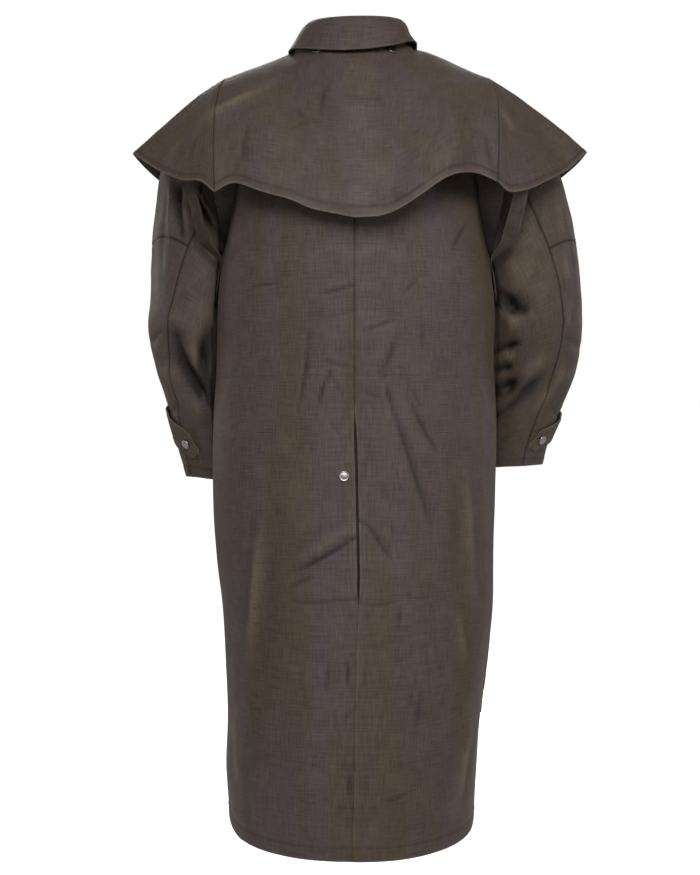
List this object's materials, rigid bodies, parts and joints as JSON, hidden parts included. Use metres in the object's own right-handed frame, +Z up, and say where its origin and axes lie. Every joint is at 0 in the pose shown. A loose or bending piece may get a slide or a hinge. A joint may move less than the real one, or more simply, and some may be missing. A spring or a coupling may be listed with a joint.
{
  "type": "duster coat",
  "caption": "Full-length brown oilskin duster coat with a shoulder cape, turned-down collar, back vent with snap and cuff tabs, hollow and filled out as if worn.",
  "frame": {"origin": "middle of the neck opening, level with the neckline seam at the centre back, where the wearer's neck and shoulders hold the coat", "axes": "+Z up, -Y the wearer's front, +X the wearer's left"},
  "size_m": [0.747, 0.4673, 1.2896],
  "materials": {
    "oilskin_back": "waxed cotton, dark brown, low sheen",
    "oilskin_front": "waxed cotton, dark brown, low sheen",
    "oilskin_sleeve": "waxed cotton, dark brown, low sheen",
    "oilskin_cape": "waxed cotton, dark brown, low sheen",
    "oilskin_collar": "waxed cotton, dark brown, low sheen",
    "oilskin_trim": "waxed cotton, dark brown, low sheen",
    "snap_metal": "dull pewter-grey plated snap caps"
  },
  "bodies": {
    "root": {"arm_strap_left": "oilskin_trim", "arm_strap_right": "oilskin_trim", "back_left": "oilskin_back", "back_right": "oilskin_back", "cape_back": "oilskin_cape", "cape_front_left": "oilskin_cape", "cape_front_right": "oilskin_cape", "cape_side_left": "oilskin_cape", "cape_side_right": "oilskin_cape", "cape_snap_left": "snap_metal", "cape_snap_right": "snap_metal", "collar": "oilskin_collar", "cuff_snap_left": "snap_metal", "cuff_snap_right": "snap_metal", "cuff_tab_left": "oilskin_trim", "cuff_tab_right": "oilskin_trim", "front_left": "oilskin_front", "front_right": "oilskin_front", "front_snap_1": "snap_metal", "front_snap_2": "snap_metal", "front_snap_3": "snap_metal", "front_snap_4": "snap_metal", "front_snap_5": "snap_metal", "front_snap_6": "snap_metal", "sleeve_left_lower": "oilskin_sleeve", "sleeve_left_under": "oilskin_sleeve", "sleeve_left_upper": "oilskin_sleeve", "sleeve_right_lower": "oilskin_sleeve", "sleeve_right_under": "oilskin_sleeve", "sleeve_right_upper": "oilskin_sleeve", "vent_gusset": "oilskin_trim", "vent_snap": "snap_metal"}
  },
  "joints": []
}
